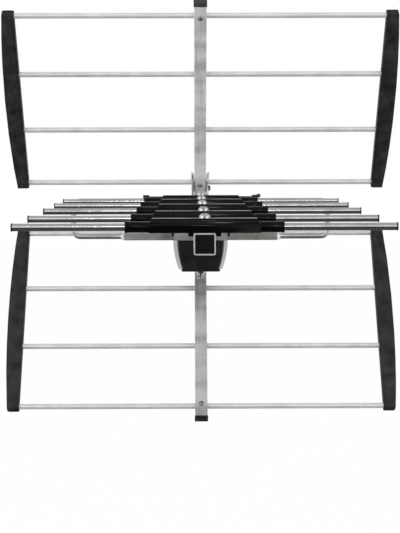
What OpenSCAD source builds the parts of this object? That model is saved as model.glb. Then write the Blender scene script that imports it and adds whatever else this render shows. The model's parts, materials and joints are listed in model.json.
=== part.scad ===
// Outdoor UHF television antenna: a square boom with five twin-rod directors,
// a folded dipole with its matching box, a two-panel corner reflector and a mast clamp.
// The origin is on the mast's axis at the height of the boom's axis. The directors point to -Y.

/* [Boom] */
// Outer width of the square boom tube
boom_w = 20; // [19:0.5:22]
// Wall of the boom tube
boom_wall = 1.2; // [1:0.1:2]
// Outer corner radius of the boom tube
boom_corner = 1.5; // [0.6:0.1:2]
// Length of the boom tube
boom_len = 850; // [845:5:900]
// Thickness of the flange on each boom plug
plug_flange = 2; // [1.5:0.5:4]
// Length of the part of a plug that goes into its tube
plug_depth = 12; // [8:1:20]

/* [Directors] */
// Distance from the boom's front end to the first director
director_first = 12; // [10:1:20]
// Gap from director 1 to director 2
director_gap_1 = 138; // [120:1:145]
// Gap from director 2 to director 3
director_gap_2 = 157; // [140:1:165]
// Gap from director 3 to director 4
director_gap_3 = 133; // [120:1:140]
// Gap from director 4 to director 5
director_gap_4 = 123; // [110:1:126]
// Span of a director from tip to tip
director_span = 354; // [320:1:380]
// Outer diameter of every round element tube
rod_d = 7; // [6.5:0.1:7.4]
// Wall of every round element tube
rod_wall = 1; // [0.8:0.1:1.4]
// Length of a holder over its two end sockets
holder_len = 146; // [136:1:156]
// Length of the thick bar in the middle of a holder
holder_bar_len = 102; // [96:1:108]
// Height of a holder's bar above the boom
holder_h = 13.2; // [12.6:0.1:14]
// Depth of a holder's foot along the boom
holder_depth = 18; // [16:0.5:22]
// Depth of the raised rib on a holder's bar
holder_rib_depth = 12; // [9:0.5:13]
// Height of the ledge under that rib
holder_ledge_h = 8.5; // [7.5:0.1:9]
// Outer diameter of a holder's end socket
socket_d = 10.2; // [10:0.1:10.8]
// Length of rod that a holder takes in
rod_grip = 40; // [34:1:44]
// Depth that a holder's feet reach down the boom's sides
foot_drop = 3; // [2:0.5:5]
// Width of each foot beside the boom
foot_w = 5; // [4:0.5:7]
// Flange thickness of the small cap on a director's tip
tip_flange = 1.2; // [1:0.1:2]
// Outer diameter of that cap
tip_d = 7.6; // [7.4:0.1:8.4]

/* [Dipole] */
// Distance of the folded dipole behind the last director
dipole_gap = 57; // [48:1:62]
// Width of the folded dipole over its round ends
dipole_span = 344; // [320:1:360]
// Drop from the dipole's upper conductor to its lower one, centre to centre
dipole_drop = 47; // [45:0.5:52]
// Centre-line radius of the dipole's four corners
dipole_bend = 9; // [8:0.5:12]
// Length over both flattened ends of the dipole
flat_len = 204; // [180:1:230]
// Height of the flattened ends
flat_h = 10.5; // [10:0.1:11]
// Thickness of the flattened ends
flat_t = 2.4; // [2:0.1:3]
// Gap between the two flattened ends at the feed point
feed_gap = 8; // [6:1:12]

/* [Matching box] */
// Width of the box at its widest place
box_w = 74; // [70:1:78]
// Depth of the box along the boom
box_depth = 49; // [44:1:56]
// Distance from the boom's underside to the box's underside
box_drop = 70; // [68:0.2:76]
// Radius of the box's bulging sides
box_side_r = 118; // [105:1:150]
// Amount that each side leans in over the box's depth
box_taper = 7.2; // [5:0.1:8]
// Wall of the box
box_wall = 2.2; // [1.8:0.1:3]
// Length of the cable socket below the box
socket_out = 10; // [8:0.5:14]
// Diameter of the cable socket's threaded barrel
socket_thread_d = 9.4; // [9:0.1:10]
// Diameter of the socket's neck in the box's wall
socket_neck_d = 10; // [9.8:0.1:10.8]

/* [Reflector] */
// Distance of the reflector's two inner rods behind the dipole
reflector_gap = 98; // [94:1:104]
// Height of the upper inner rod above the boom's axis
panel_z = 35.5; // [34:0.5:40]
// Lean of each panel away from upright
panel_lean = 34.9; // [32:0.1:38]
// Distance between neighbouring reflector rods
rod_pitch = 88; // [80:0.5:92]
// Width of each panel's square tube
tube_w = 16; // [15:0.5:16.5]
// Wall of each panel's square tube
tube_wall = 1; // [0.8:0.1:1.5]
// Outer corner radius of the panel tubes
tube_corner = 1.2; // [0.6:0.1:1.8]
// Tube beyond its outermost rod
tube_tail = 14; // [10:1:20]
// Tube before its innermost rod
tube_root = 25; // [24:0.5:26]
// Height of the block on a panel tube's cap
cap_h = 7; // [5:0.5:12]
// Clear width between the two end strips
strip_gap = 475; // [450:1:490]
// Width of an end strip at its ends
strip_end_w = 15.5; // [15:0.5:18]
// Bulge of an end strip's outer edge
strip_bulge = 6; // [4:0.5:9]
// Thickness of an end strip
strip_t = 13; // [12.5:0.5:16]
// Wall of an end strip
strip_wall = 1.8; // [1.4:0.1:2.4]
// Strip beyond its outermost rod
strip_tail = 6.5; // [6:0.5:10]
// Strip before its innermost rod
strip_root = 9.5; // [7:0.5:12]
// Length of rod inside an end strip
strip_grip = 10; // [8:0.5:11]

/* [Reflector bracket] */
// Thickness of each bracket plate
plate_t = 2; // [1.5:0.5:3]
// Length of the panel tube that the plates cover, beyond the inner rod
plate_reach = 17; // [14:0.5:20]
// Length of the plates behind the inner rods
plate_back = 30; // [28:1:34]
// Diameter of the bracket bolts
bolt_d = 4; // [3.5:0.5:5]
// Width across flats of the bracket nuts
bolt_af = 7; // [6.5:0.5:8]
// Distance of the locking bolt from the inner rod
lock_offset = 10.4; // [9.5:0.1:12]

/* [Mast clamp] */
// Diameter of the mast that the clamp is set for
mast_d = 42; // [38:0.5:44]
// Distance from the boom's axis to the mast's axis
mast_x = 37; // [36:0.5:40]
// Distance from the inner reflector rods to the mast's axis
mast_gap = 77; // [72:1:84]
// Diameter of the U-bolt
u_bolt_d = 6; // [5:0.5:7]
// Half angle of the jaw's round seat
seat_half_angle = 62; // [58:1:66]
// Height of the jaw along the mast
jaw_h = 24; // [22:1:40]
// Thickness of the jaw's base and of the backing plate
clamp_plate_t = 2.5; // [2:0.5:4]

/* [Fits] */
// Clearance around a rod in its hole, on the radius
rod_fit = 0.1; // [0.05:0.01:0.2]
// Clearance around a bolt or screw in its hole, on the radius
bolt_fit = 0.2; // [0.1:0.05:0.3]
// Clearance of a plug in its tube, on each side
plug_fit = 0.1; // [0.05:0.01:0.2]
// Diameter of the holder, box and cover screws
screw_d = 3.8; // [3:0.1:4]
// Diameter of a holder screw's head
screw_head_d = 10; // [9:0.5:11]
// Height of a holder screw's head
screw_head_h = 4.6; // [4:0.1:5]

/* [Hidden] */
$fn = 48;

alu = [0.78, 0.79, 0.8];
steel = [0.62, 0.63, 0.65];
black = [0.07, 0.07, 0.08];

boom_half = boom_w / 2;
director_y = [
    director_first,
    director_first + director_gap_1,
    director_first + director_gap_1 + director_gap_2,
    director_first + director_gap_1 + director_gap_2 + director_gap_3,
    director_first + director_gap_1 + director_gap_2 + director_gap_3 + director_gap_4];
dipole_y = director_y[4] + dipole_gap;
panel_y = dipole_y + reflector_gap;
mast_y = panel_y + mast_gap;

// Height of the rods of a director: they lie on the middle of the holder's sockets
director_rod_z = boom_half + socket_d / 2;
rod_inner = holder_len / 2 - rod_grip;
rod_outer = director_span / 2 - tip_flange;
rod_bore_d = rod_d - 2 * rod_wall;
tip_plug = 6;
screw_tail = 3;

// The dipole's upper conductor rests on the boom
dipole_top = boom_half + rod_d / 2;
dipole_low = dipole_top - dipole_drop;
dipole_half = dipole_span / 2 - rod_d / 2;
flat_taper = 4;
flat_front = dipole_y - flat_t / 2;
flat_back = dipole_y + flat_t / 2;

box_bottom = -boom_half - box_drop;
box_shoulder = dipole_low + flat_h / 2 + 4;
box_cover_top = dipole_low - flat_h / 2 - 0.3;
cover_depth = 10;
box_front = flat_back - cover_depth;
box_back = box_front + box_depth;
box_bulge_z = dipole_low - 6;
box_side_x = box_side_r - box_w / 2;
box_mid_y = flat_back + 19;
cheek_t = 3;
cheek_h = 14;
cheek_fit = 0.15;
neck_w = 34;
board_t = 1.6;
box_pad_t = 1.6;
box_pad_w = 26;
socket_nut_h = 2.6;
board_low = box_bottom + box_wall + 9;
board_half = 21;
terminal_x = 14;
terminal_tray = 4.3;
terminal_half = 35;
terminal_head_d = 7;
terminal_head_h = 2.4;

tube_half = tube_w / 2;
strip_inner = strip_gap / 2;
strip_len = strip_root + 3 * rod_pitch + strip_tail;
strip_mid = (3 * rod_pitch + strip_tail - strip_root) / 2;
strip_arc_r = (pow(strip_len / 2, 2) + pow(strip_bulge, 2)) / (2 * strip_bulge);
strip_socket_d = rod_d + 3.6;
rivet_d = 3.4;
rivet_head_d = 7;
rivet_head_h = 1.8;

bolt_head_h = 1.6;
nut_h = 3.2;
bolt_tail = 1.2;
plate_out = boom_half + plate_t;
plate_waist = boom_half + 6;
plate_nose = 8;
boom_bolt_y = [panel_y + 4, panel_y + plate_back - 6];

u_leg = mast_d / 2 + u_bolt_d / 2 + 1;
jaw_back = boom_half + clamp_plate_t;
clamp_plate_len = 2 * u_leg + 18;
u_bolt_tail = 9;
wing_nut_h = 7;
washer_t = 1.5;
big = 2000;

// Everything is drawn from the boom's front end and then moved so that the mast is the origin
module at_mast() {
    translate([-mast_x, -mast_y, 0]) children();
}

// A shape drawn upright on a panel's inner rod goes to the upper (1) or the lower (-1) panel
module on_panel(side) {
    mirror([0, 0, side < 0 ? 1 : 0])
        translate([0, panel_y, panel_z])
            rotate([panel_lean, 0, 0]) children();
}

// Place of a panel's point in the side view, from its distance along the panel and behind it
function panel_point(along, behind) = [
    panel_y - along * sin(panel_lean) + behind * cos(panel_lean),
    panel_z + along * cos(panel_lean) + behind * sin(panel_lean)];

module x_bar(d, x0, x1) {
    translate([x0, 0, 0]) rotate([0, 90, 0]) cylinder(d = d, h = x1 - x0);
}

module y_bar(d, y0, y1) {
    translate([0, y0, 0]) rotate([-90, 0, 0]) cylinder(d = d, h = y1 - y0);
}

module block(low, high) {
    translate(low) cube(high - low);
}

// Square with true round corners
module round_square(w, h, r) {
    square([w - 2 * r, h], center = true);
    square([w, h - 2 * r], center = true);
    for (sx = [-1, 1], sy = [-1, 1])
        translate([sx * (w / 2 - r), sy * (h / 2 - r)]) circle(r = r);
}

// Domed head with a cross recess, standing on z = 0, and its plain shank below
module pan_screw(head_d, head_h, d, len) {
    rise = head_h * 0.6;
    dome_r = (pow(head_d / 2, 2) + pow(rise, 2)) / (2 * rise);
    difference() {
        intersection() {
            cylinder(d = head_d, h = head_h);
            translate([0, 0, head_h - dome_r]) sphere(r = dome_r);
        }
        for (turn = [0, 90])
            rotate([0, 0, turn])
                translate([-head_d * 0.28, -head_h * 0.11, head_h * 0.55])
                    cube([head_d * 0.56, head_h * 0.22, head_h]);
    }
    translate([0, 0, -len]) cylinder(d = d, h = len + 0.01);
}

// Wall of a square tube with round corners
module tube_section(w, wall, corner) {
    difference() {
        round_square(w, w, corner);
        round_square(w - 2 * wall, w - 2 * wall, max(corner - wall, 0.3));
    }
}

module hex(af, h) {
    cylinder(d = af / cos(30), h = h, $fn = 6);
}

// Boom

module boom() {
    color(alu) at_mast() difference() {
        rotate([-90, 0, 0]) linear_extrude(boom_len) tube_section(boom_w, boom_wall, boom_corner);
        for (y = director_y)
            translate([0, y, 0]) cylinder(d = screw_d + 2 * bolt_fit, h = boom_w);
        for (y = boom_bolt_y)
            translate([0, y, 0]) x_bar(bolt_d + 2 * bolt_fit, -boom_w, boom_w);
        for (s = [-1, 1])
            translate([0, mast_y + s * u_leg, 0]) x_bar(u_bolt_d + 2 * bolt_fit, -boom_w, boom_w);
        translate([0, box_mid_y, 0]) x_bar(screw_d + 2 * bolt_fit, 0, boom_w);
    }
}

// Plug with a dished face, drawn with its flange on the -Y side of y = 0
module square_plug(outer, bore, flange, depth) {
    inset = outer / 5;
    difference() {
        union() {
            rotate([90, 0, 0]) linear_extrude(flange) round_square(outer, outer, 1);
            rotate([-90, 0, 0]) linear_extrude(depth) round_square(bore, bore, 0.8);
        }
        translate([0, -flange - 0.01, 0]) rotate([-90, 0, 0])
            linear_extrude(flange * 0.5) square(outer - 2 * inset, center = true);
        translate([0, 1, 0]) rotate([-90, 0, 0])
            linear_extrude(depth) square(bore - 2 * plug_wall, center = true);
    }
}

plug_bore = boom_w - 2 * boom_wall - 2 * plug_fit;
plug_wall = 1.8;

module boom_front_plug() {
    dish = 0.8;
    color(black) at_mast() difference() {
        rotate([-90, 0, 0]) linear_extrude(plug_depth) round_square(plug_bore, plug_bore, 0.8);
        translate([0, -0.01, 0]) rotate([-90, 0, 0])
            linear_extrude(dish) square(plug_bore * 0.72, center = true);
        translate([0, 3, 0]) rotate([-90, 0, 0])
            linear_extrude(plug_depth) square(plug_bore - 2 * plug_wall, center = true);
        translate([0, director_y[0], 0]) cylinder(d = screw_d + 2 * bolt_fit, h = boom_w);
    }
}

module boom_rear_plug() {
    color(black) at_mast()
        translate([0, boom_len, 0]) rotate([0, 0, 180])
            square_plug(boom_w + 1, plug_bore, plug_flange, plug_depth);
}

// Directors

// Front outline of the holder's bar, with sloped ends
module holder_front() {
    half = holder_bar_len / 2;
    slope = 3;
    polygon([
        [-half, boom_half], [half, boom_half],
        [half, boom_half + holder_ledge_h], [half - slope, boom_half + holder_h],
        [-half + slope, boom_half + holder_h], [-half, boom_half + holder_ledge_h]]);
}

// Side section of the holder's bar: a foot, a ledge and a rounded rib
module holder_section() {
    edge = 2;
    translate([-holder_depth / 2, boom_half]) square([holder_depth, holder_ledge_h - edge]);
    translate([-holder_depth / 2 + edge, boom_half]) square([holder_depth - 2 * edge, holder_ledge_h]);
    for (s = [-1, 1]) {
        translate([s * (holder_depth / 2 - edge), boom_half + holder_ledge_h - edge]) circle(r = edge);
        translate([s * (holder_rib_depth / 2 - edge), boom_half + holder_h - edge]) circle(r = edge);
    }
    translate([-holder_rib_depth / 2, boom_half]) square([holder_rib_depth, holder_h - edge]);
    translate([-holder_rib_depth / 2 + edge, boom_half]) square([holder_rib_depth - 2 * edge, holder_h]);
}

// Moulded holder: bar, end sockets, feet beside the boom and ribbed pockets under the bar
module director_holder(k) {
    rib = 1.6;
    wall = 2;
    screw_pad = 8;
    // Half width of the raised ring at a socket's mouth
    collar = 1;
    half_depth = holder_depth / 2;
    pocket_top = boom_half + holder_ledge_h - wall;
    pocket = (rod_inner - wall - boom_half - foot_w) / 2;
    color(black) at_mast() translate([0, director_y[k], 0]) difference() {
        union() {
            intersection() {
                translate([0, holder_depth, 0]) rotate([90, 0, 0])
                    linear_extrude(2 * holder_depth) holder_front();
                rotate([90, 0, 90]) translate([0, 0, -holder_len])
                    linear_extrude(2 * holder_len) holder_section();
            }
            translate([0, 0, director_rod_z]) x_bar(socket_d, -holder_len / 2, holder_len / 2);
            for (s = [-1, 1]) {
                mirror([s < 0 ? 1 : 0, 0, 0])
                    block([boom_half + cheek_fit, -holder_depth / 2, boom_half - foot_drop],
                        [boom_half + foot_w, holder_depth / 2, boom_half + wall]);
                translate([s * (holder_len / 2 - collar), 0, director_rod_z])
                    x_bar(socket_d + 0.8, -collar, collar);
            }
        }
        for (s = [-1, 1]) mirror([s < 0 ? 1 : 0, 0, 0]) {
            translate([0, 0, director_rod_z]) x_bar(rod_d + 2 * rod_fit, rod_inner, holder_len);
            for (cell = [0, 1]) {
                start = boom_half + foot_w + cell * (pocket + rib / 2);
                block([start, wall - half_depth, boom_half - 1],
                    [start + pocket - rib / 2, half_depth - wall, pocket_top]);
            }
            block([screw_pad / 2, wall - half_depth, boom_half - 1],
                [boom_half, half_depth - wall, pocket_top]);
        }
        cylinder(d = screw_d + 2 * bolt_fit, h = big);
    }
}

module director_rod(k, s) {
    x0 = s < 0 ? -rod_outer : rod_inner;
    x1 = s < 0 ? -rod_inner : rod_outer;
    color(alu) at_mast() translate([0, director_y[k], director_rod_z]) difference() {
        x_bar(rod_d, x0, x1);
        x_bar(rod_bore_d, x0 - 1, x1 + 1);
    }
}

module director_tip_caps() {
    color(black) at_mast() for (y = director_y, s = [-1, 1])
        translate([0, y, director_rod_z]) mirror([s < 0 ? 1 : 0, 0, 0]) {
            x_bar(tip_d, rod_outer, rod_outer + tip_flange);
            x_bar(rod_bore_d - 2 * plug_fit, rod_outer - tip_plug, rod_outer + 0.01);
        }
}

module holder_screws() {
    color(steel) at_mast() for (y = director_y)
        translate([0, y, boom_half + holder_h])
            pan_screw(screw_head_d, screw_head_h, screw_d, holder_h + boom_wall + screw_tail);
}

// Dipole and matching box

// Quarter bend, a hair thicker than the tube so that the two overlap cleanly
module dipole_corner(s, up) {
    corner_swell = 0.06;
    z = up ? dipole_top - dipole_bend : dipole_low + dipole_bend;
    quarter = up ? (s > 0 ? 0 : 1) : (s > 0 ? 3 : 2);
    translate([s * (dipole_half - dipole_bend), dipole_y, z])
        rotate([90, 0, 0]) rotate([0, 0, 90 * quarter]) rotate_extrude(angle = 90)
            translate([dipole_bend, 0]) circle(d = rod_d + corner_swell);
}

// Taper from a flattened end at x = 0 to the round tube: a cone cut to a wedge
module flat_transition(len) {
    shy = 0.05;
    intersection() {
        rotate([0, 90, 0]) cylinder(r1 = flat_h / 2 - 6 * shy, r2 = rod_d / 2 - shy, h = len);
        translate([0, 0, -flat_h]) linear_extrude(2 * flat_h) polygon([
            [0, shy - flat_t / 2], [len, -rod_d / 2], [len, rod_d / 2], [0, flat_t / 2 - shy]]);
    }
}

module dipole_loop() {
    lap = 0.4;
    straight = dipole_half - dipole_bend + lap;
    color(alu) at_mast() difference() {
        union() {
            translate([0, dipole_y, dipole_top]) x_bar(rod_d, -straight, straight);
            for (s = [-1, 1]) {
                dipole_corner(s, true);
                dipole_corner(s, false);
                translate([s * dipole_half, dipole_y, dipole_low + dipole_bend - lap])
                    cylinder(d = rod_d, h = dipole_drop - 2 * dipole_bend + 2 * lap);
                mirror([s < 0 ? 1 : 0, 0, 0]) {
                    translate([0, dipole_y, dipole_low]) x_bar(rod_d, flat_len / 2 + flat_taper, straight);
                    translate([flat_len / 2 - lap, dipole_y, dipole_low]) flat_transition(flat_taper + 2 * lap);
                    block([feed_gap / 2, flat_front, dipole_low - flat_h / 2],
                        [flat_len / 2, flat_back, dipole_low + flat_h / 2]);
                }
            }
        }
        for (s = [-1, 1])
            translate([s * terminal_x, 0, dipole_low])
                y_bar(screw_d + 2 * bolt_fit, flat_front - 1, flat_back + 1);
    }
}

// Two snap-on clips on the upper conductor, each with a short arm towards the middle
module dipole_clips() {
    clip_x = 72;
    clip_w = 8;
    clip_wall = 1.7;
    arm = 18;
    arm_half = 1.5;
    grip_half = 2.6;
    grip_h = 2.6;
    slot_half = rod_d * 0.38;
    color(black) at_mast() for (s = [-1, 1])
        translate([0, dipole_y, dipole_top]) mirror([s < 0 ? 1 : 0, 0, 0]) difference() {
            union() {
                x_bar(rod_d + 2 * clip_wall, clip_x - clip_w / 2, clip_x + clip_w / 2);
                block([clip_x - clip_w / 2 - arm, -arm_half, rod_d / 2 + rod_fit],
                    [clip_x, arm_half, rod_d / 2 + clip_wall + 0.8]);
                block([clip_x - clip_w / 2, -grip_half, rod_d / 2],
                    [clip_x + clip_w / 2, grip_half, rod_d / 2 + clip_wall + grip_h]);
            }
            x_bar(rod_d + 2 * rod_fit, clip_x - clip_w, clip_x + clip_w);
            block([clip_x - clip_w, -slot_half, -rod_d], [clip_x + clip_w, slot_half, 0]);
        }
}

// Radius of the box's sides at a place along the boom
function box_r(y) = box_side_r - box_taper * (box_back - y) / box_depth;

// Large tapered round of which one side of the box is a slice
module box_side(y0, y1, inset, front_inset) {
    rotate([-90, 0, 0])
        cylinder(r1 = box_r(y0) - inset - front_inset, r2 = box_r(y1) - inset, h = y1 - y0, $fn = 96);
}

// Box form between two places along the boom, inset all round, from top height to bottom height
module box_form(y0, y1, inset, top, bottom, front_inset = 0) {
    intersection() {
        block([-box_w, y0, bottom], [box_w, y1, top]);
        translate([-box_side_x, y0, box_bulge_z]) box_side(y0, y1, inset, front_inset);
        translate([box_side_x, y0, box_bulge_z]) box_side(y0, y1, inset, front_inset);
    }
}

module box_base() {
    seal = 0.05;
    rim = 1;
    latch_x = terminal_half + 1;
    latch_end = latch_x + 2.5;
    latch_front = flat_front - 2.2;
    latch_top = dipole_low + flat_h / 2 + 2.4;
    neck_back = box_back - 6;
    color(black) at_mast() difference() {
        union() {
            box_form(flat_back, box_back, 0, box_shoulder, box_bottom);
            block([-neck_w / 2, flat_back, box_shoulder - 1], [neck_w / 2, neck_back, -boom_half]);
            for (s = [-1, 1]) {
                x = boom_half + cheek_fit;
                mirror([s < 0 ? 1 : 0, 0, 0]) {
                    block([x, flat_back, -boom_half - 1], [x + cheek_t, neck_back, -boom_half + cheek_h]);
                    block([neck_w / 2, flat_back, dipole_low], [latch_end, flat_back + 5, latch_top]);
                    block([latch_x, latch_front, dipole_low], [latch_end, flat_front - 0.1, latch_top]);
                    block([latch_x, latch_front, latch_top - 2.2], [latch_end, flat_back + 1, latch_top]);
                }
            }
            translate([0, box_mid_y, box_bottom - box_pad_t])
                linear_extrude(box_pad_t + 0.4) round_square(box_pad_w, box_pad_w - 6, 4);
        }
        box_form(flat_back + box_wall, box_back - box_wall, box_wall,
            box_shoulder - box_wall, box_bottom + box_wall);
        box_form(flat_back - 1, flat_back + box_wall + 1, box_wall + rim,
            box_cover_top - box_wall - rim, box_bottom + box_wall + rim);
        block([-neck_w / 2 + box_wall, flat_back + box_wall, box_shoulder],
            [neck_w / 2 - box_wall, neck_back - box_wall, -boom_half - box_wall]);
        for (s = [-1, 1])
            translate([s * terminal_x, 0, dipole_low])
                y_bar(screw_d + 2 * bolt_fit, flat_back - 1, flat_back + box_wall + 1);
        translate([0, box_mid_y, 0]) x_bar(screw_d + 2 * bolt_fit, boom_half, boom_w);
        translate([0, box_mid_y, box_bottom - 3]) cylinder(d = socket_neck_d + 2 * seal, h = box_wall + 4);
    }
}

// Front cover with a chamfered face and a wider chin, closed below the flattened dipole ends
module box_cover() {
    chamfer = 1.5;
    chin_h = 2.6;
    chin_out = 2.4;
    mark_x = 19;
    mark_up = 14;
    mark_d = 3.4;
    color(black) at_mast() difference() {
        union() {
            box_form(box_front, box_front + chamfer, 0, box_cover_top, box_bottom, chamfer);
            box_form(box_front + chamfer, flat_back, 0, box_cover_top, box_bottom);
            box_form(box_front, flat_back, 0, box_bottom + chin_h, box_bottom, -chin_out);
        }
        box_form(box_front + box_wall, flat_back + 1, box_wall,
            box_cover_top - box_wall, box_bottom + box_wall);
        for (s = [-1, 1])
            translate([s * mark_x, 0, box_bottom + mark_up]) y_bar(mark_d, box_front - 1, box_front + 1);
    }
}

module terminal_cover() {
    lip = 1.2;
    z0 = dipole_low - flat_h / 2;
    z1 = dipole_low + flat_h / 2;
    color(alu) at_mast() difference() {
        block([-terminal_half, flat_front - terminal_tray, z0], [terminal_half, flat_front, z1]);
        block([-terminal_half + lip, flat_front - terminal_tray + lip, z0 + lip],
            [terminal_half - lip, flat_front + 1, z1 - lip]);
    }
}

module terminal_screws() {
    reach = box_mid_y - flat_front;
    color(steel) at_mast() for (s = [-1, 1])
        translate([s * terminal_x, flat_front, dipole_low]) rotate([90, 0, 0])
            pan_screw(terminal_head_d, terminal_head_h, screw_d, reach);
}

// Matching transformer board: it stands behind the terminal screws and carries a coil and a shield can
module balun_board() {
    top = dipole_low + 6;
    back = box_mid_y + board_t - 0.01;
    part_h = 5;
    can_half = 12;
    coil_d = 10;
    color("darkgreen") at_mast() {
        block([-board_half, box_mid_y, board_low], [board_half, box_mid_y + board_t, top]);
        block([-can_half, back, board_low + 6], [can_half, back + part_h, board_low + 20]);
        translate([0, 0, dipole_low - 6]) difference() {
            y_bar(coil_d, back, back + part_h);
            y_bar(coil_d / 2, back - 1, back + part_h + 1);
        }
    }
}

// Cable socket: a threaded barrel below the nut, a neck in the wall and a flange inside
module coax_socket() {
    end_z = box_bottom - box_pad_t - socket_out;
    neck_z = box_bottom - box_pad_t - socket_nut_h;
    inside_z = box_bottom + box_wall;
    flange = 2;
    mouth_d = 5.4;
    mouth_depth = 4;
    pin_d = 1.2;
    color(steel) at_mast() translate([0, box_mid_y, 0]) {
        difference() {
            union() {
                translate([0, 0, end_z]) cylinder(d = socket_thread_d, h = neck_z - end_z);
                translate([0, 0, neck_z]) cylinder(d = socket_neck_d, h = inside_z - neck_z);
                translate([0, 0, inside_z]) cylinder(d = socket_neck_d + 3, h = flange);
            }
            translate([0, 0, end_z - 1]) cylinder(d = mouth_d, h = mouth_depth + 1);
        }
        translate([0, 0, inside_z + flange - 0.1]) cylinder(d = pin_d, h = board_low - inside_z - flange + 0.1);
    }
}

module coax_socket_nut() {
    color(steel) at_mast() translate([0, box_mid_y, box_bottom - box_pad_t - socket_nut_h]) difference() {
        hex(socket_neck_d + 2, socket_nut_h);
        translate([0, 0, -1]) cylinder(d = socket_neck_d + 2 * plug_fit, h = socket_nut_h + 2);
    }
}

module box_screw() {
    side = boom_half + cheek_fit + cheek_t;
    color(steel) at_mast() translate([side, box_mid_y, 0]) rotate([0, 90, 0])
        pan_screw(terminal_head_d, terminal_head_h, screw_d, cheek_t + boom_wall + screw_tail);
}

// Reflector panels

module panel_tube(side) {
    top = 3 * rod_pitch + tube_tail;
    color(alu) at_mast() on_panel(side) difference() {
        translate([0, 0, -tube_root])
            linear_extrude(top + tube_root) tube_section(tube_w, tube_wall, tube_corner);
        for (k = [0:3])
            translate([0, 0, k * rod_pitch]) x_bar(rod_d + 2 * rod_fit, -tube_w, tube_w);
        for (k = [0, 3])
            translate([0, 0, k * rod_pitch]) y_bar(rivet_d + 2 * rod_fit, -tube_w, 0);
        translate([0, 0, -lock_offset]) x_bar(bolt_d + 2 * bolt_fit, -tube_w, tube_w);
    }
}

module tube_cap(side) {
    top = 3 * rod_pitch + tube_tail;
    overhang = 0.7;
    plug_len = 8;
    groove = 1.2;
    color(black) at_mast() on_panel(side) translate([0, 0, top]) difference() {
        union() {
            linear_extrude(cap_h) round_square(tube_w + 2 * overhang, tube_w + 2 * overhang, 1.2);
            translate([0, 0, -plug_len]) linear_extrude(plug_len + 0.01)
                square(tube_w - 2 * tube_wall - 2 * plug_fit, center = true);
        }
        translate([0, 0, -plug_len - 1]) linear_extrude(plug_len)
            square(tube_w - 2 * tube_wall - 2 * plug_wall, center = true);
        for (turn = [0, 90])
            rotate([0, 0, turn]) translate([0, 0, cap_h - 1])
                linear_extrude(2) square([tube_w - 5, groove], center = true);
    }
}

module reflector_rod(side, k) {
    half = strip_inner + strip_grip;
    color(alu) at_mast() on_panel(side) translate([0, 0, k * rod_pitch]) difference() {
        x_bar(rod_d, -half, half);
        x_bar(rod_bore_d, -half - 1, half + 1);
        if (k == 0 || k == 3) y_bar(rivet_d + 2 * rod_fit, -rod_d, 0);
    }
}

// Outline of an end strip in its panel's plane: straight inside, bowed outside
module strip_outline(inset) {
    intersection() {
        translate([strip_inner + inset, -strip_root + inset])
            square([strip_end_w + strip_bulge, strip_len - 2 * inset]);
        translate([strip_inner + strip_end_w + strip_bulge - strip_arc_r, strip_mid])
            circle(r = strip_arc_r - inset, $fn = 360);
    }
}

// Moulded strip: open at the back, with a socket for each rod and a stiffening rib between them
module end_strip(side, s) {
    ledge = 2.2;
    ledge_cut = 0.8;
    rib_half = 0.7;
    color(black) at_mast() on_panel(side) mirror([s < 0 ? 1 : 0, 0, 0]) difference() {
        union() {
            difference() {
                translate([0, strip_t / 2, 0]) rotate([90, 0, 0]) linear_extrude(strip_t) strip_outline(0);
                translate([0, strip_t / 2 + 1, 0]) rotate([90, 0, 0])
                    linear_extrude(strip_t - strip_wall + 1) strip_outline(strip_wall);
            }
            intersection() {
                translate([0, strip_t / 2 - 1, 0]) rotate([90, 0, 0])
                    linear_extrude(strip_t - 2) strip_outline(strip_wall / 2);
                union() {
                    for (k = [0:3])
                        translate([0, 0, k * rod_pitch])
                            x_bar(strip_socket_d, strip_inner, strip_inner + strip_grip + strip_wall);
                    for (k = [0:2], q = [0.25, 0.5, 0.75])
                        block([strip_inner, -strip_t / 2, (k + q) * rod_pitch - rib_half],
                            [strip_inner + 3 * strip_end_w, strip_t / 2, (k + q) * rod_pitch + rib_half]);
                }
            }
        }
        for (k = [0:3])
            translate([0, 0, k * rod_pitch])
                x_bar(rod_d + 2 * rod_fit, strip_inner - 1, strip_inner + strip_grip);
        block([strip_inner - 1, -strip_t / 2 - 1, -strip_root - 1],
            [strip_inner + ledge, -strip_t / 2 + ledge_cut, strip_len]);
    }
}

// Blind rivets that lock the innermost and the outermost rods in the panel tubes
module rod_rivets() {
    rise = rivet_head_h;
    dome_r = (pow(rivet_head_d / 2, 2) + pow(rise, 2)) / (2 * rise);
    color(steel) at_mast() for (side = [-1, 1], k = [0, 3]) on_panel(side)
        translate([0, -tube_half, k * rod_pitch]) rotate([90, 0, 0]) {
            intersection() {
                cylinder(d = rivet_head_d, h = rise);
                translate([0, 0, rise - dome_r]) sphere(r = dome_r);
            }
            translate([0, 0, -tube_half + 1]) cylinder(d = rivet_d, h = tube_half - 0.99);
        }
}

// Bracket

// Side view of a bracket plate: it spans the boom and both panel tubes
module plate_outline() {
    edge = tube_half + 1;
    front = panel_point(plate_reach, -edge);
    rear = panel_point(plate_reach, edge);
    back_y = panel_y + plate_back;
    polygon([
        [panel_y - plate_nose, plate_waist], front, rear, [back_y, plate_waist],
        [back_y, -plate_waist], [rear[0], -rear[1]], [front[0], -front[1]],
        [panel_y - plate_nose, -plate_waist]]);
}

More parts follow.
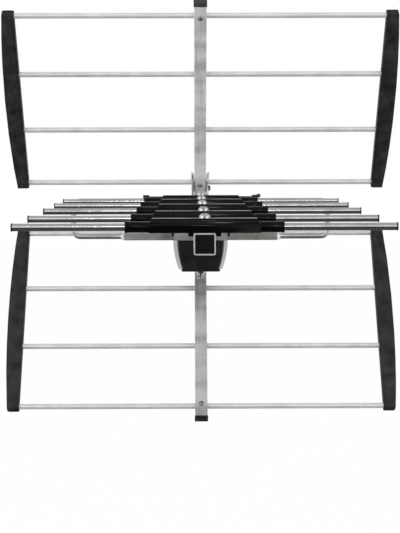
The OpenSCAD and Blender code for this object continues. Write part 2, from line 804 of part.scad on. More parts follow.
// Plate with lips at both ends that flare away from the panel tubes
module bracket_plate(s) {
    lip = 3;
    flare = 2.2;
    foot = 3;
    edge = tube_half + 0.5;
    color(steel) at_mast() mirror([s < 0 ? 1 : 0, 0, 0]) difference() {
        union() {
            translate([boom_half, 0, 0]) rotate([90, 0, 90]) linear_extrude(plate_t) plate_outline();
            for (side = [-1, 1]) on_panel(side) translate([0, edge, 0]) rotate([90, 0, 0])
                linear_extrude(2 * edge) polygon([
                    [boom_half, plate_reach - 1], [plate_out, plate_reach - 1], [plate_out, plate_reach],
                    [plate_out + flare, plate_reach + lip], [boom_half + flare, plate_reach + lip],
                    [boom_half, plate_reach]]);
            for (end = [-1, 1])
                block([boom_half, panel_y - plate_nose, end * plate_waist - plate_t / 2],
                    [plate_out + foot, panel_y + 2, end * plate_waist + plate_t / 2]);
        }
        for (side = [-1, 1]) on_panel(side) {
            x_bar(rod_d + 4 * rod_fit, 0, boom_w);
            translate([0, 0, -lock_offset]) x_bar(bolt_d + 2 * bolt_fit, 0, boom_w);
        }
        for (y = boom_bolt_y) translate([0, y, 0]) x_bar(bolt_d + 2 * bolt_fit, 0, boom_w);
    }
}

module on_bracket_bolts() {
    for (side = [-1, 1]) on_panel(side) translate([0, 0, -lock_offset]) children();
    for (y = boom_bolt_y) translate([0, y, 0]) children();
}

module bracket_bolts() {
    color(steel) at_mast() on_bracket_bolts() {
        x_bar(bolt_af + 1, -plate_out - bolt_head_h, -plate_out);
        x_bar(bolt_d, -plate_out - 0.01, plate_out + nut_h + bolt_tail);
    }
}

module bracket_nuts() {
    color(steel) at_mast() on_bracket_bolts() difference() {
        translate([plate_out, 0, 0]) rotate([0, 90, 0]) hex(bolt_af, nut_h);
        x_bar(bolt_d + 2 * plug_fit, plate_out - 1, plate_out + nut_h + 1);
    }
}

// Washers that fill the fork on both sides of each panel tube
module fork_spacers() {
    color(steel) at_mast() for (side = [-1, 1], s = [-1, 1]) on_panel(side)
        translate([0, 0, -lock_offset]) mirror([s < 0 ? 1 : 0, 0, 0]) difference() {
            x_bar(bolt_d + 6, tube_half, boom_half);
            x_bar(bolt_d + 2 * bolt_fit, tube_half - 1, boom_half + 1);
        }
}

// Mast clamp

// Cast jaw: a base against the boom and a cradle with a round, relieved seat
module mast_jaw() {
    tip_y = mast_d / 2 * sin(seat_half_angle);
    tip_x = mast_x - mast_d / 2 * cos(seat_half_angle);
    rim = 3;
    web = 10;
    color(steel) at_mast() translate([0, mast_y, 0]) difference() {
        union() {
            block([boom_half, -clamp_plate_len / 2, -boom_half], [jaw_back, clamp_plate_len / 2, boom_half]);
            block([boom_half, -tip_y, -jaw_h / 2], [tip_x, tip_y, jaw_h / 2]);
        }
        translate([mast_x, 0, -jaw_h]) cylinder(d = mast_d, h = 2 * jaw_h, $fn = 96);
        for (s = [-1, 1]) {
            translate([0, s * u_leg, 0]) x_bar(u_bolt_d + 2 * bolt_fit, 0, mast_x);
            difference() {
                block([jaw_back, s > 0 ? web / 2 : rim - tip_y, -jaw_h],
                    [mast_x, s > 0 ? tip_y - rim : -web / 2, jaw_h]);
                translate([mast_x, 0, -jaw_h]) cylinder(r = mast_d / 2 + rim, h = 2 * jaw_h);
            }
        }
    }
}

module mast_backing_plate() {
    color(steel) at_mast() translate([0, mast_y, 0]) difference() {
        block([-jaw_back, -clamp_plate_len / 2, -boom_half], [-boom_half, clamp_plate_len / 2, boom_half]);
        for (s = [-1, 1])
            translate([0, s * u_leg, 0]) x_bar(u_bolt_d + 2 * bolt_fit, -mast_x, 0);
    }
}

nut_seat = jaw_back + washer_t;

module mast_u_bolt() {
    bend_x = mast_x + mast_d / 2 - u_leg + u_bolt_d / 2;
    color(steel) at_mast() translate([0, mast_y, 0]) {
        for (s = [-1, 1])
            translate([0, s * u_leg, 0]) x_bar(u_bolt_d, -nut_seat - wing_nut_h - u_bolt_tail, bend_x);
        translate([bend_x, 0, 0]) rotate([0, 0, -90]) rotate_extrude(angle = 180)
            translate([u_leg, 0]) circle(d = u_bolt_d);
    }
}

module mast_washers() {
    color(steel) at_mast() for (s = [-1, 1])
        translate([0, mast_y + s * u_leg, 0]) difference() {
            x_bar(2 * u_bolt_d + 1, -nut_seat, -jaw_back);
            x_bar(u_bolt_d + 2 * bolt_fit, -nut_seat - 1, -jaw_back + 1);
        }
}

// Wing nut: a tapered hub with two ears
module mast_wing_nuts() {
    ear_r = 5.5;
    ear_t = 2.4;
    ear_reach = 11;
    hub_d = 13;
    color(steel) at_mast() for (s = [-1, 1])
        translate([-nut_seat, mast_y + s * u_leg, 0]) rotate([0, -90, 0]) rotate([0, 0, 90]) difference() {
            union() {
                cylinder(d1 = hub_d, d2 = hub_d - 3, h = wing_nut_h);
                for (ear = [-1, 1])
                    translate([ear * ear_reach, ear_t / 2, wing_nut_h + 1]) rotate([90, 0, 0]) {
                        cylinder(r = ear_r, h = ear_t);
                        linear_extrude(ear_t)
                            polygon([[ear * ear_r * 0.7, -ear_r * 0.7], [-ear * (ear_reach - 3), -wing_nut_h],
                                [-ear * (ear_reach - 3.5), -1.5], [-ear * ear_r * 0.3, ear_r * 0.95]]);
                    }
            }
            translate([0, 0, -1]) cylinder(d = u_bolt_d + 2 * plug_fit, h = 4 * wing_nut_h);
        }
}

boom();
boom_front_plug();
boom_rear_plug();
director_holder(0);  // director_holder_1
director_holder(1);  // director_holder_2
director_holder(2);  // director_holder_3
director_holder(3);  // director_holder_4
director_holder(4);  // director_holder_5
director_rod(0, -1);  // director_1_rod_left
director_rod(0, 1);  // director_1_rod_right
director_rod(1, -1);  // director_2_rod_left
director_rod(1, 1);  // director_2_rod_right
director_rod(2, -1);  // director_3_rod_left
director_rod(2, 1);  // director_3_rod_right
director_rod(3, -1);  // director_4_rod_left
director_rod(3, 1);  // director_4_rod_right
director_rod(4, -1);  // director_5_rod_left
director_rod(4, 1);  // director_5_rod_right
director_tip_caps();
holder_screws();
dipole_loop();
dipole_clips();
box_base();
box_cover();
terminal_cover();
terminal_screws();
balun_board();
coax_socket();
coax_socket_nut();
box_screw();
panel_tube(1);  // upper_panel_tube
tube_cap(1);  // upper_tube_cap
reflector_rod(1, 0);  // upper_rod_1
reflector_rod(1, 1);  // upper_rod_2
reflector_rod(1, 2);  // upper_rod_3
reflector_rod(1, 3);  // upper_rod_4
end_strip(1, -1);  // upper_strip_left
end_strip(1, 1);  // upper_strip_right
panel_tube(-1);  // lower_panel_tube
tube_cap(-1);  // lower_tube_cap
reflector_rod(-1, 0);  // lower_rod_1
reflector_rod(-1, 1);  // lower_rod_2
reflector_rod(-1, 2);  // lower_rod_3
reflector_rod(-1, 3);  // lower_rod_4
end_strip(-1, -1);  // lower_strip_left
end_strip(-1, 1);  // lower_strip_right
rod_rivets();
bracket_plate(-1);  // bracket_plate_left
bracket_plate(1);  // bracket_plate_right
bracket_bolts();
bracket_nuts();
fork_spacers();
mast_jaw();
mast_backing_plate();
mast_u_bolt();
mast_washers();
mast_wing_nuts();
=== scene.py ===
"""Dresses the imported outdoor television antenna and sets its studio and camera."""

import json
import logging
import math
from collections.abc import Callable
from dataclasses import dataclass, field
from enum import Enum
from typing import Any

import bpy
import bmesh
from mathutils import Matrix, Vector

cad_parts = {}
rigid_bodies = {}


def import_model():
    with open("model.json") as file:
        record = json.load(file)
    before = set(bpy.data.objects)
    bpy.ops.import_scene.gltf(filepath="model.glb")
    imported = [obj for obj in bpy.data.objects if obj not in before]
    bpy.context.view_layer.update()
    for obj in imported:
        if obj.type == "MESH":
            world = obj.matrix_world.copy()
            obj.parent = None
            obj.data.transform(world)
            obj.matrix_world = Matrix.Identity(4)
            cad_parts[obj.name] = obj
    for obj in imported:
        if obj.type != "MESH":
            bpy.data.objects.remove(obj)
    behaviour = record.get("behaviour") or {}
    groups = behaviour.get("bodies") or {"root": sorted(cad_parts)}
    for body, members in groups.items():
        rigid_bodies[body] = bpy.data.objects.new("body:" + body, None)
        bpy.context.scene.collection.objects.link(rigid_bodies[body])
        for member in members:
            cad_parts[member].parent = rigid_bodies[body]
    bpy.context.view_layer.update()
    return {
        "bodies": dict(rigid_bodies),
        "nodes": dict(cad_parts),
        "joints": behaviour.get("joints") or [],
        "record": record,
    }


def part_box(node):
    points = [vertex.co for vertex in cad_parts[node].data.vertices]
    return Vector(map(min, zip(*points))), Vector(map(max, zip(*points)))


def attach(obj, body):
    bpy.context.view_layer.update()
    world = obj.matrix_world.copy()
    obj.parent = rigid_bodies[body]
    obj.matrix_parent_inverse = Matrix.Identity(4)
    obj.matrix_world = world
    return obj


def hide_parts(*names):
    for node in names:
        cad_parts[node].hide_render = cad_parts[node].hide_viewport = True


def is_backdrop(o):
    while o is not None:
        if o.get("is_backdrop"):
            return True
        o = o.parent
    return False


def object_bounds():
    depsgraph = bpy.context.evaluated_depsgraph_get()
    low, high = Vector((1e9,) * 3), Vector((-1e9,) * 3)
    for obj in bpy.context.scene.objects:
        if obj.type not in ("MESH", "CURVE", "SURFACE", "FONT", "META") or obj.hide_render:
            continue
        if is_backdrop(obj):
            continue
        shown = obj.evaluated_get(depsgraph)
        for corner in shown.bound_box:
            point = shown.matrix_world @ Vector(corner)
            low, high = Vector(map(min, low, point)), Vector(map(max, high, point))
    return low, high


log = logging.getLogger("antenna")

Triple = tuple[float, float, float]
Colour = Triple
Stops = list[tuple[float, Colour]]
Shaping = Callable[[Vector], Vector]

MM = 0.001
MERGE_DISTANCE = 0.004 * MM
FLAT_ANGLE = math.radians(1.0)
EDGE_ANGLE = math.radians(35)
ROUNDING_STEPS = 2
CORNER_STEPS = 5
PANEL_LEAN = math.radians(34.9)
UNSCALED = (1.0, 1.0, 1.0)
NOISE_MIDDLE = 0.5


class Along(Enum):
    """The direction in which a tube was drawn or extruded."""

    X = (1.0, 0.0, 0.0)
    Y = (0.0, 1.0, 0.0)
    Z = (0.0, 0.0, 1.0)


class Value:
    """A shader socket that takes part in arithmetic."""

    def __init__(self, graph: "Graph", socket: Any) -> None:
        """Keep the graph and the output socket.

        Args:
            graph: the graph that the socket belongs to.
            socket: the output socket.
        """
        self.graph = graph
        self.socket = socket

    def _maths(self, operation: str, first: Any, second: Any) -> "Value":
        """Add one Math node.

        Args:
            operation: the node's operation.
            first: a number or a value.
            second: a number or a value.

        Returns:
            The node's output.
        """
        return self.graph.node("ShaderNodeMath", {"operation": operation}, {0: first, 1: second})

    def __add__(self, other: Any) -> "Value":
        """Add a number or a value."""
        return self._maths("ADD", self, other)

    def __radd__(self, other: Any) -> "Value":
        """Add this value to a number."""
        return self._maths("ADD", other, self)

    def __sub__(self, other: Any) -> "Value":
        """Subtract a number or a value."""
        return self._maths("SUBTRACT", self, other)

    def __rsub__(self, other: Any) -> "Value":
        """Subtract this value from a number."""
        return self._maths("SUBTRACT", other, self)

    def __mul__(self, other: Any) -> "Value":
        """Multiply by a number or a value."""
        return self._maths("MULTIPLY", self, other)

    def __rmul__(self, other: Any) -> "Value":
        """Multiply a number by this value."""
        return self._maths("MULTIPLY", other, self)


class Graph:
    """The node tree of a material or of the world."""

    def __init__(self, tree: Any) -> None:
        """Empty the tree and keep it.

        Args:
            tree: the node tree.
        """
        self.tree = tree
        tree.nodes.clear()

    def node(self, kind: str, settings: dict[str, Any], inputs: dict[Any, Any], output: Any = 0) -> Value:
        """Add a node, set it and feed it.

        Args:
            kind: the node's type.
            settings: attributes that are set before the inputs.
            inputs: a number, colour or value for each socket, by name or place.
            output: the name or place of the wanted output.

        Returns:
            The wanted output.
        """
        made = self.tree.nodes.new(kind)
        for name, setting in settings.items():
            if name == "stops":
                self._stops(made.color_ramp, setting)
            else:
                setattr(made, name, setting)
        for key, fed in inputs.items():
            socket = made.inputs[key]
            if isinstance(fed, Value):
                self.tree.links.new(fed.socket, socket)
            else:
                socket.default_value = fed
        return Value(self, made.outputs[output])

    @staticmethod
    def _stops(ramp: Any, stops: Stops) -> None:
        """Give a colour ramp its stops.

        Args:
            ramp: the ramp, which starts with two stops.
            stops: each stop's place and colour.
        """
        while len(ramp.elements) < len(stops):
            ramp.elements.new(0.5)
        for element, (place, colour) in zip(ramp.elements, stops):
            element.position = place
            element.color = rgba(colour)

    def place(self, scale: Triple, turn: Triple = (0.0, 0.0, 0.0)) -> Value:
        """Return the object's own coordinates, turned and then stretched.

        Args:
            scale: the stretch along each axis.
            turn: the rotation in radians.

        Returns:
            The vector.
        """
        own = self.node("ShaderNodeTexCoord", {}, {}, "Object")
        turned = self.node("ShaderNodeMapping", {}, {"Vector": own, "Rotation": turn})
        return self.node("ShaderNodeMapping", {}, {"Vector": turned, "Scale": scale})

    def noise(self, vector: Value, scale: float, detail: float) -> Value:
        """Return fractal noise between 0 and 1.

        Args:
            vector: the coordinates.
            scale: how many blobs fit in a metre of them.
            detail: the number of finer layers.

        Returns:
            The noise.
        """
        return self.node("ShaderNodeTexNoise", {}, {"Vector": vector, "Scale": scale, "Detail": detail})

    def blend(self, factor: Any, first: Any, second: Any) -> Value:
        """Return a colour between two others.

        Args:
            factor: 0 for the first colour, 1 for the second.
            first: a colour with alpha, or a value.
            second: a colour with alpha, or a value.

        Returns:
            The colour.
        """
        return self.node("ShaderNodeMix", {"data_type": "RGBA"}, {0: factor, 6: first, 7: second}, 2)

    def ramp(self, factor: Value, stops: Stops) -> Value:
        """Return the colour of a ramp.

        Args:
            factor: the place on the ramp.
            stops: each stop's place and colour.

        Returns:
            The colour.
        """
        return self.node("ShaderNodeValToRGB", {"stops": stops}, {"Fac": factor})

    def bump(self, height: Value, strength: float, depth: float) -> Value:
        """Return a normal pushed in and out by a height.

        Args:
            height: the height, between 0 and 1.
            strength: how much of it counts.
            depth: the height in metres.

        Returns:
            The normal.
        """
        return self.node("ShaderNodeBump", {}, {"Height": height, "Strength": strength, "Distance": depth})

    def surface(self, inputs: dict[str, Any]) -> None:
        """End the tree in a Principled surface.

        Args:
            inputs: what each of its sockets gets.
        """
        self.end(self.node("ShaderNodeBsdfPrincipled", {}, inputs))

    def end(self, shader: Value, kind: str = "ShaderNodeOutputMaterial") -> None:
        """Link a shader to the tree's output node.

        Args:
            shader: the shader.
            kind: the output node's type.
        """
        out = self.tree.nodes.new(kind)
        self.tree.links.new(shader.socket, out.inputs["Surface"])


def rgba(colour: Colour) -> tuple[float, float, float, float]:
    """Return a colour with full alpha.

    Args:
        colour: the colour.

    Returns:
        The colour and a 1.
    """
    return (*colour, 1.0)


def grey(level: float) -> Colour:
    """Return a colour without a tint.

    Args:
        level: its brightness.

    Returns:
        The colour.
    """
    return (level, level, level)


def new_material(name: str) -> tuple[Any, Graph]:
    """Make an empty node material.

    Args:
        name: the material's name.

    Returns:
        The material and its graph.
    """
    material = bpy.data.materials.new(name)
    material.use_nodes = True
    return material, Graph(material.node_tree)


@dataclass(frozen=True)
class DrawnAluminium:
    """Bare aluminium tube with fine lines along it, faint stains and bands across it."""

    name: str
    along: Along
    lean: float = 0.0
    light: Colour = (0.72, 0.72, 0.73)
    dark: Colour = (0.5, 0.5, 0.52)
    gloss: float = 0.24
    metal: float = 1.0
    bands: float = 0.0
    band_length: float = 26 * MM
    band_across: float = 2.0
    line_width: float = 0.35 * MM
    line_length: float = 60 * MM
    line_share: float = 0.65
    line_haze: float = 0.16
    line_bump: float = 0.25
    line_height: float = 0.03 * MM
    stain_size: float = 22 * MM
    stain_share: float = 0.45
    stain_haze: float = 0.14
    dark_at: float = 0.36
    light_at: float = 0.68

    def build(self) -> Any:
        """Return the material."""
        material, graph = new_material(self.name)
        lines = graph.noise(self.stretched(graph, self.line_length, 1 / self.line_width), 1.0, 4.0)
        stains = graph.noise(graph.place(UNSCALED), 1 / self.stain_size, 5.0)
        blotch = lines * self.line_share + stains * self.stain_share
        if self.bands:
            cross = graph.noise(self.stretched(graph, self.band_length, self.band_across), 1.0, 2.0)
            blotch = blotch + (cross - NOISE_MIDDLE) * self.bands
        haze = (lines - NOISE_MIDDLE) * self.line_haze
        graph.surface({
            "Base Color": graph.ramp(blotch, [(self.dark_at, self.dark), (self.light_at, self.light)]),
            "Metallic": self.metal,
            "Roughness": self.gloss + haze + (stains - NOISE_MIDDLE) * self.stain_haze,
            "Normal": graph.bump(lines, self.line_bump, self.line_height),
        })
        return material

    def stretched(self, graph: Graph, length: float, across: float) -> Value:
        """Return coordinates stretched along the tube.

        Args:
            graph: the material's graph.
            length: the length of a blob along the tube.
            across: the scale in the other two directions.

        Returns:
            The vector.
        """
        scale = tuple(1 / length if part else across for part in self.along.value)
        return graph.place(scale, (-self.lean, 0.0, 0.0))


@dataclass(frozen=True)
class GlossMoulding:
    """Shiny black moulded plastic with a slight ripple and thin dust."""

    name: str
    colour: Colour = (0.002, 0.002, 0.0022)
    dust: float = 0.002
    gloss: float = 0.05
    shine: float = 0.15
    ripple: float = 3 * MM
    ripple_bump: float = 0.12
    ripple_height: float = 0.06 * MM
    speck: float = 0.6 * MM
    speck_share: float = 0.5
    speck_haze: float = 0.04
    cloud: float = 30 * MM
    cloud_share: float = 0.5
    cloud_haze: float = 0.12
    clean_at: float = 0.48
    dusty_at: float = 0.72

    def build(self) -> Any:
        """Return the material."""
        material, graph = new_material(self.name)
        own = graph.place(UNSCALED)
        ripple = graph.noise(own, 1 / self.ripple, 2.0)
        specks = graph.noise(own, 1 / self.speck, 4.0)
        cloud = graph.noise(own, 1 / self.cloud, 4.0)
        mottle = specks * self.speck_share + cloud * self.cloud_share
        film = graph.ramp(mottle, [(self.clean_at, grey(0.0)), (self.dusty_at, grey(1.0))])
        dusty = tuple(part + self.dust for part in self.colour)
        graph.surface({
            "Base Color": graph.blend(film, rgba(self.colour), rgba(dusty)),
            "Roughness": self.gloss + cloud * self.cloud_haze + specks * self.speck_haze,
            "Specular IOR Level": self.shine,
            "Normal": graph.bump(ripple, self.ripple_bump, self.ripple_height),
        })
        return material


@dataclass(frozen=True)
class GrainMoulding:
    """Dull black moulded plastic with a fine grain and weathered patches."""

    name: str
    deep: Colour = (0.007, 0.007, 0.0074)
    worn: Colour = (0.03, 0.03, 0.031)
    gloss: float = 0.5
    grain: float = 0.45 * MM
    grain_share: float = 0.25
    grain_bump: float = 0.45
    grain_height: float = 0.09 * MM
    shine: float = 0.3
    patch: float = 14 * MM
    patch_share: float = 0.75
    patch_haze: float = 0.2
    deep_at: float = 0.38
    worn_at: float = 0.66

    def build(self) -> Any:
        """Return the material."""
        material, graph = new_material(self.name)
        own = graph.place(UNSCALED)
        grain = graph.noise(own, 1 / self.grain, 2.0)
        patches = graph.noise(own, 1 / self.patch, 6.0)
        wear = patches * self.patch_share + grain * self.grain_share
        graph.surface({
            "Base Color": graph.ramp(wear, [(self.deep_at, self.deep), (self.worn_at, self.worn)]),
            "Roughness": self.gloss + patches * self.patch_haze,
            "Specular IOR Level": self.shine,
            "Normal": graph.bump(grain, self.grain_bump, self.grain_height),
        })
        return material


@dataclass(frozen=True)
class PlatedSteel:
    """Zinc or nickel plate with a faint crystal pattern and dull spots."""

    name: str
    light: Colour = (0.66, 0.66, 0.66)
    dark: Colour = (0.42, 0.42, 0.43)
    gloss: float = 0.28
    metal: float = 1.0
    crystal: float = 2.5 * MM
    crystal_share: float = 0.35
    crystal_haze: float = 0.06
    spot: float = 5 * MM
    spot_share: float = 0.65
    spot_haze: float = 0.2
    spot_bump: float = 0.15
    spot_height: float = 0.05 * MM
    dark_at: float = 0.3
    light_at: float = 0.7

    def build(self) -> Any:
        """Return the material."""
        material, graph = new_material(self.name)
        own = graph.place(UNSCALED)
        cells = graph.node("ShaderNodeTexVoronoi", {}, {"Vector": own, "Scale": 1 / self.crystal}, "Color")
        tone = graph.node("ShaderNodeSeparateColor", {}, {"Color": cells}, 0)
        spots = graph.noise(own, 1 / self.spot, 5.0)
        plate = tone * self.crystal_share + spots * self.spot_share
        graph.surface({
            "Base Color": graph.ramp(plate, [(self.dark_at, self.dark), (self.light_at, self.light)]),
            "Metallic": self.metal,
            "Roughness": self.gloss + spots * self.spot_haze + tone * self.crystal_haze,
            "Normal": graph.bump(spots, self.spot_bump, self.spot_height),
        })
        return material


@dataclass(frozen=True)
class BoardLaminate:
    """Green circuit board with a woven glass grain."""

    name: str
    colour: Colour = (0.02, 0.12, 0.05)
    lighter: float = 1.5
    gloss: float = 0.3
    weave: float = 160.0
    weave_bend: float = 0.6
    weave_haze: float = 0.1
    weave_bump: float = 0.2
    weave_height: float = 0.03 * MM

    def build(self) -> Any:
        """Return the material."""
        material, graph = new_material(self.name)
        weave = graph.node(
            "ShaderNodeTexWave", {},
            {"Vector": graph.place(UNSCALED), "Scale": self.weave, "Distortion": self.weave_bend}, "Fac")
        thread = tuple(part * self.lighter for part in self.colour)
        graph.surface({
            "Base Color": graph.blend(weave, rgba(self.colour), rgba(thread)),
            "Roughness": self.gloss + weave * self.weave_haze,
            "Normal": graph.bump(weave, self.weave_bump, self.weave_height),
        })
        return material


def dress(node: Any, material: Any) -> None:
    """Give every material slot of an object one material.

    Args:
        node: the object.
        material: its new material.
    """
    if not node.material_slots:
        node.data.materials.append(material)
    for slot in node.material_slots:
        slot.material = material


def mesh_object(form: Any, name: str) -> Any:
    """Turn a bmesh into an object of the scene.

    Args:
        form: the bmesh, which is freed.
        name: the name of the object and of its mesh.

    Returns:
        The object.
    """
    mesh = bpy.data.meshes.new(name)
    form.to_mesh(mesh)
    form.free()
    made = bpy.data.objects.new(name, mesh)
    bpy.context.collection.objects.link(made)
    return made


def settle(source: Any, name: str) -> Any:
    """Turn an object's evaluated geometry into a plain mesh object.

    Args:
        source: the object with live modifiers, which is removed.
        name: the name of the plain object.

    Returns:
        The plain object.
    """
    graph = bpy.context.evaluated_depsgraph_get()
    mesh = bpy.data.meshes.new_from_object(source.evaluated_get(graph))
    mesh.transform(source.matrix_world)
    mesh.name = name
    bpy.data.objects.remove(source)
    plain = bpy.data.objects.new(name, mesh)
    bpy.context.collection.objects.link(plain)
    return plain


def rounded(form: Any, name: str, width: float) -> Any:
    """Turn a bmesh into a smooth object with its sharp edges rounded.

    Args:
        form: the bmesh, which is freed.
        name: the object's name.
        width: the rounding's width in metres.

    Returns:
        The object, with its modifier applied.
    """
    for face in form.faces:
        face.smooth = True
    piece = mesh_object(form, name)
    bevel = piece.modifiers.new("round", "BEVEL")
    bevel.width = width
    bevel.segments = ROUNDING_STEPS
    bevel.limit_method = "ANGLE"
    bevel.angle_limit = EDGE_ANGLE
    bevel.use_clamp_overlap = True
    bevel.harden_normals = True
    return settle(piece, name)


def rounded_copy(node: Any, name: str, width: float, shaping: Shaping | None = None) -> Any:
    """Copy a CAD node with its sharp edges rounded.

    Args:
        node: the CAD node's object.
        name: the copy's name.
        width: the rounding's width in metres.
        shaping: moves each point of the copy before the rounding.

    Returns:
        The copy.
    """
    form = bmesh.new()
    form.from_mesh(node.data)
    bmesh.ops.remove_doubles(form, verts=form.verts, dist=MERGE_DISTANCE)
    bmesh.ops.dissolve_limit(form, angle_limit=FLAT_ANGLE, verts=form.verts, edges=form.edges)
    if shaping:
        for vertex in form.verts:
            vertex.co = shaping(vertex.co)
    return rounded(form, name, width)


@dataclass(frozen=True)
class PanelPlane:
    """Place of one reflector panel, with x across it, y behind it and z along it."""

    side: int
    across: float = -37 * MM
    root_y: float = -77 * MM
    root_z: float = 35.5 * MM
    lean: float = PANEL_LEAN

    def matrix(self) -> Matrix:
        """Return the way from the panel's own coordinates to the frame."""
        root = Matrix.Translation((self.across, self.root_y, self.root_z))
        mirror = Matrix.Diagonal((1.0, 1.0, float(self.side), 1.0))
        return mirror @ (root @ Matrix.Rotation(self.lean, 4, "X"))

    def shaped(self, shaping: Shaping) -> Shaping:
        """Return a shaping of panel coordinates as one of frame coordinates.

        Args:
            shaping: moves a point of the panel.

        Returns:
            What moves the same point of the frame.
        """
        there = self.matrix()
        back = there.inverted()
        return lambda point: there @ shaping(back @ point)

    def piece(self, form: Any, name: str, rounding: float) -> Any:
        """Put a form drawn in panel coordinates on the panel and round its edges.

        Args:
            form: the bmesh, which is freed.
            name: the piece's name.
            rounding: the rounding's width in metres.

        Returns:
            The piece.
        """
        bmesh.ops.transform(form, matrix=self.matrix(), verts=form.verts)
        bmesh.ops.recalc_face_normals(form, faces=form.faces)
        return rounded(form, name, rounding)


def square_prism(half: float, corner: float, start: float, end: float, recess: float = 0.0) -> Any:
    """Build a closed square bar with round corners along Z.

    Args:
        half: half of the bar's width.
        corner: the radius of its corners.
        start: the bar's first height.
        end: its last height.
        recess: the depth of a dish in its far end, or none.

    Returns:
        A bmesh of the bar.
    """
    form = bmesh.new()
    outline = []
    for quarter, (sx, sy) in enumerate(((1, 1), (-1, 1), (-1, -1), (1, -1))):
        for step in range(CORNER_STEPS):
            turn = math.radians(90 * (quarter + step / (CORNER_STEPS - 1)))
            outline.append((
                sx * (half - corner) + corner * math.cos(turn),
                sy * (half - corner) + corner * math.sin(turn)))
    base = form.faces.new([form.verts.new((x, y, start)) for x, y in outline])
    top = bmesh.ops.extrude_face_region(form, geom=[base])["geom"]
    raised = [part for part in top if isinstance(part, bmesh.types.BMVert)]
    bmesh.ops.translate(form, vec=(0.0, 0.0, end - start), verts=raised)
    if recess:
        face = next(part for part in top if isinstance(part, bmesh.types.BMFace))
        bmesh.ops.inset_region(form, faces=[face], thickness=corner, depth=0.0)
        bmesh.ops.inset_region(form, faces=[face], thickness=recess, depth=-recess)
    bmesh.ops.recalc_face_normals(form, faces=form.faces)
    return form


@dataclass
class ThreadMaker:
    """Geometry Nodes tree that stacks thread crests along the local Z axis."""

    around: int = 28
    section: int = 6
    root_share: float = 0.12
    crest_share: float = 0.3
    tree: Any = field(init=False)
    sockets: dict[str, str] = field(init=False, default_factory=dict)

    def __post_init__(self) -> None:
        """Build the tree once."""
        tree = bpy.data.node_groups.new("thread crests", "GeometryNodeTree")
        tree.interface.new_socket("Geometry", in_out="OUTPUT", socket_type="NodeSocketGeometry")
        for name, kind in (
                ("Radius", "NodeSocketFloat"), ("Crest", "NodeSocketFloat"), ("Pitch", "NodeSocketFloat"),
                ("Count", "NodeSocketInt"), ("Finish", "NodeSocketMaterial")):
            socket = tree.interface.new_socket(name, in_out="INPUT", socket_type=kind)
            self.sockets[name] = socket.identifier
        entry = tree.nodes.new("NodeGroupInput").outputs
        crest_path = tree.nodes.new("GeometryNodeCurvePrimitiveCircle")
        crest_path.inputs["Resolution"].default_value = self.around
        profile = tree.nodes.new("GeometryNodeCurvePrimitiveCircle")
        profile.inputs["Resolution"].default_value = self.section
        crest = tree.nodes.new("GeometryNodeCurveToMesh")
        step = tree.nodes.new("ShaderNodeCombineXYZ")
        row = tree.nodes.new("GeometryNodeMeshLine")
        spread = tree.nodes.new("GeometryNodeInstanceOnPoints")
        solid = tree.nodes.new("GeometryNodeRealizeInstances")
        finish = tree.nodes.new("GeometryNodeSetMaterial")
        out = tree.nodes.new("NodeGroupOutput")
        for source, target in (
                (entry["Radius"], crest_path.inputs["Radius"]),
                (entry["Crest"], profile.inputs["Radius"]),
                (crest_path.outputs["Curve"], crest.inputs["Curve"]),
                (profile.outputs["Curve"], crest.inputs["Profile Curve"]),
                (entry["Pitch"], step.inputs["Z"]),
                (step.outputs[0], row.inputs["Offset"]),
                (entry["Count"], row.inputs["Count"]),
                (row.outputs["Mesh"], spread.inputs["Points"]),
                (crest.outputs["Mesh"], spread.inputs["Instance"]),
                (spread.outputs["Instances"], solid.inputs["Geometry"]),
                (solid.outputs["Geometry"], finish.inputs["Geometry"]),
                (entry["Finish"], finish.inputs["Material"]),
                (finish.outputs["Geometry"], out.inputs["Geometry"])):
            tree.links.new(source, target)
        self.tree = tree

    def cut(self, name: str, radius: float, pitch: float, length: float, finish: Any, place: Matrix) -> Any:
        """Make one threaded stretch.

        Args:
            name: the piece's name.
            radius: the bolt's radius.
            pitch: the distance between crests.
            length: the length of the stretch.
            finish: the material.
            place: where the stretch starts, with Z along it.

        Returns:
            A plain mesh object.
        """
        holder = bpy.data.objects.new(name, bpy.data.meshes.new(name))
        bpy.context.collection.objects.link(holder)
        nodes = holder.modifiers.new("crests", "NODES")
        nodes.node_group = self.tree
        nodes[self.sockets["Radius"]] = radius - pitch * self.root_share
        nodes[self.sockets["Crest"]] = pitch * self.crest_share
        nodes[self.sockets["Pitch"]] = pitch
        nodes[self.sockets["Count"]] = max(2, int(length / pitch))
        nodes[self.sockets["Finish"]] = finish
        holder.matrix_world = place
        bpy.context.view_layer.update()
        return settle(holder, name)


def join_pieces(parts: list[Any], name: str) -> Any:
    """Join plain mesh objects into one.

    Args:
        parts: the objects, which are removed.
        name: the name of the joined object.

    Returns:
        The joined object.
    """
    form = bmesh.new()
    for part in parts:
        form.from_mesh(part.data)
    joined = mesh_object(form, name)
    for material in parts[0].data.materials:
        joined.data.materials.append(material)
    for part in parts:
        bpy.data.objects.remove(part)
    return joined


def keep(piece: Any) -> Any:
    """Let a finished piece ride on the antenna's body and report it.

    Args:
        piece: the finished object.

    Returns:
        The same object.
    """
    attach(piece, "root")
    log.info("%s: %d faces", piece.name, len(piece.data.polygons))
    return piece


